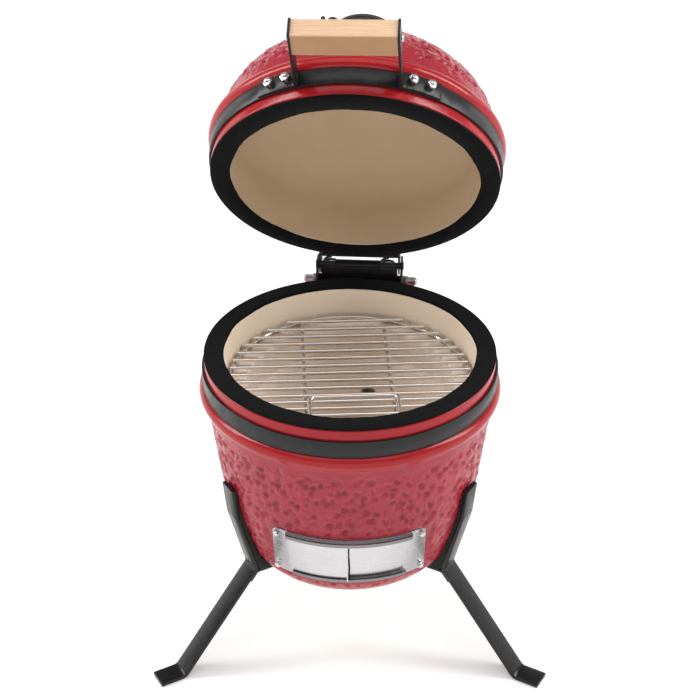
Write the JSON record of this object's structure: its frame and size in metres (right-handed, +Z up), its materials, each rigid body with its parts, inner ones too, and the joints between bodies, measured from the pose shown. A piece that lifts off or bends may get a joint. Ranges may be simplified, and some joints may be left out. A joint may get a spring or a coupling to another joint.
{
  "type": "kamado ceramic grill",
  "caption": "Compact egg-shaped ceramic charcoal grill with a hinged domed lid shown open, a bamboo handle, a draft door, a wire grid and a three-legged steel stand.",
  "frame": {"origin": "on the floor, under the middle of the whole object's footprint with the lid open", "axes": "+Z up, -Y to the front where the handle and draft door are, X along the lid hinge"},
  "size_m": [0.4392, 0.4301, 0.7314],
  "materials": {
    "red_glaze": "gloss",
    "felt": "matte",
    "black_steel": "satin",
    "firebrick": "matte",
    "cast_iron": "matte",
    "stainless_sheet": "polished",
    "stainless_wire": "satin",
    "bright_fastener": "polished",
    "dark_spring": "satin",
    "black_pad": "matte",
    "bamboo": "satin"
  },
  "bodies": {
    "grill_base": {"pot": "red_glaze", "base_gasket": "felt", "base_band": "black_steel", "fire_ring": "firebrick", "fire_bowl": "firebrick", "draft_frame": "stainless_sheet", "draft_top_rail": "stainless_sheet", "draft_bottom_rail": "stainless_sheet", "draft_fixed_panel": "stainless_sheet", "draft_screws": "bright_fastener", "support_pads": "black_pad", "cradle_ring": "black_steel", "hinge_base_bracket": "black_steel", "hinge_barrel": "black_steel", "hinge_pin": "dark_spring", "spring_rod": "dark_spring", "spring_rod_nuts": "bright_fastener", "hinge_base_bolts": "bright_fastener", "leg_left": "black_steel", "leg_right": "black_steel", "leg_rear": "black_steel", "hinge_spring_left": "dark_spring", "hinge_spring_right": "dark_spring"},
    "lid": {"lid_shell": "red_glaze", "lid_gasket": "felt", "lid_band": "black_steel", "hinge_lid_bracket": "black_steel", "hinge_crossbar": "dark_spring", "hinge_lid_bolts": "bright_fastener", "vent_base": "cast_iron", "vent_pivot": "cast_iron", "handle_bar": "bamboo", "handle_screws": "bright_fastener", "bracket_nuts": "bright_fastener", "handle_bracket_left": "black_steel", "handle_bracket_right": "black_steel"},
    "vent_wheel": {"vent_disc": "cast_iron", "vent_knob": "cast_iron"},
    "draft_slider": {"draft_slider": "stainless_sheet"},
    "cooking_grid": {"grid_bars": "stainless_wire", "grid_ring": "stainless_wire", "grid_cross_wires": "stainless_wire"},
    "grid_bail": {"front_bail": "stainless_wire"},
    "charcoal_grate": {"charcoal_grate": "cast_iron"}
  },
  "joints": [
    {"name": "lid_hinge", "type": "hinge", "parent": "grill_base", "child": "lid", "pos_m": [-0.00675, 0.1277, 0.36565], "axis": [-1, 0, 0], "range_deg": [-58, 0], "stiffness_Nm_per_rad": 4.6, "springref_deg": 65.89, "deforming": ["hinge_spring_left", "hinge_spring_right"]},
    {"name": "vent_turn", "type": "hinge", "parent": "lid", "child": "vent_wheel", "pos_m": [-0.00675, 0.19893, 0.62276], "axis": [0, 0.848, 0.5299], "range_deg": [0, 45]},
    {"name": "draft_slide", "type": "hinge", "parent": "grill_base", "child": "draft_slider", "pos_m": [-0.00675, -0.0526, 0.1708], "axis": [0, 0, 1], "range_deg": [0, 28]},
    {"name": "grid_lift", "type": "slide", "parent": "grill_base", "child": "cooking_grid", "axis": [0, 0, 1], "range_m": [0, 0.06]},
    {"name": "bail_fold", "type": "hinge", "parent": "cooking_grid", "child": "grid_bail", "pos_m": [0.00394, -0.14639, 0.3293], "axis": [0.9936, 0.1132, 0], "range_deg": [0, 100]},
    {"name": "grate_lift", "type": "slide", "parent": "grill_base", "child": "charcoal_grate", "axis": [0, 0, 1], "range_m": [0, 0.06]}
  ]
}
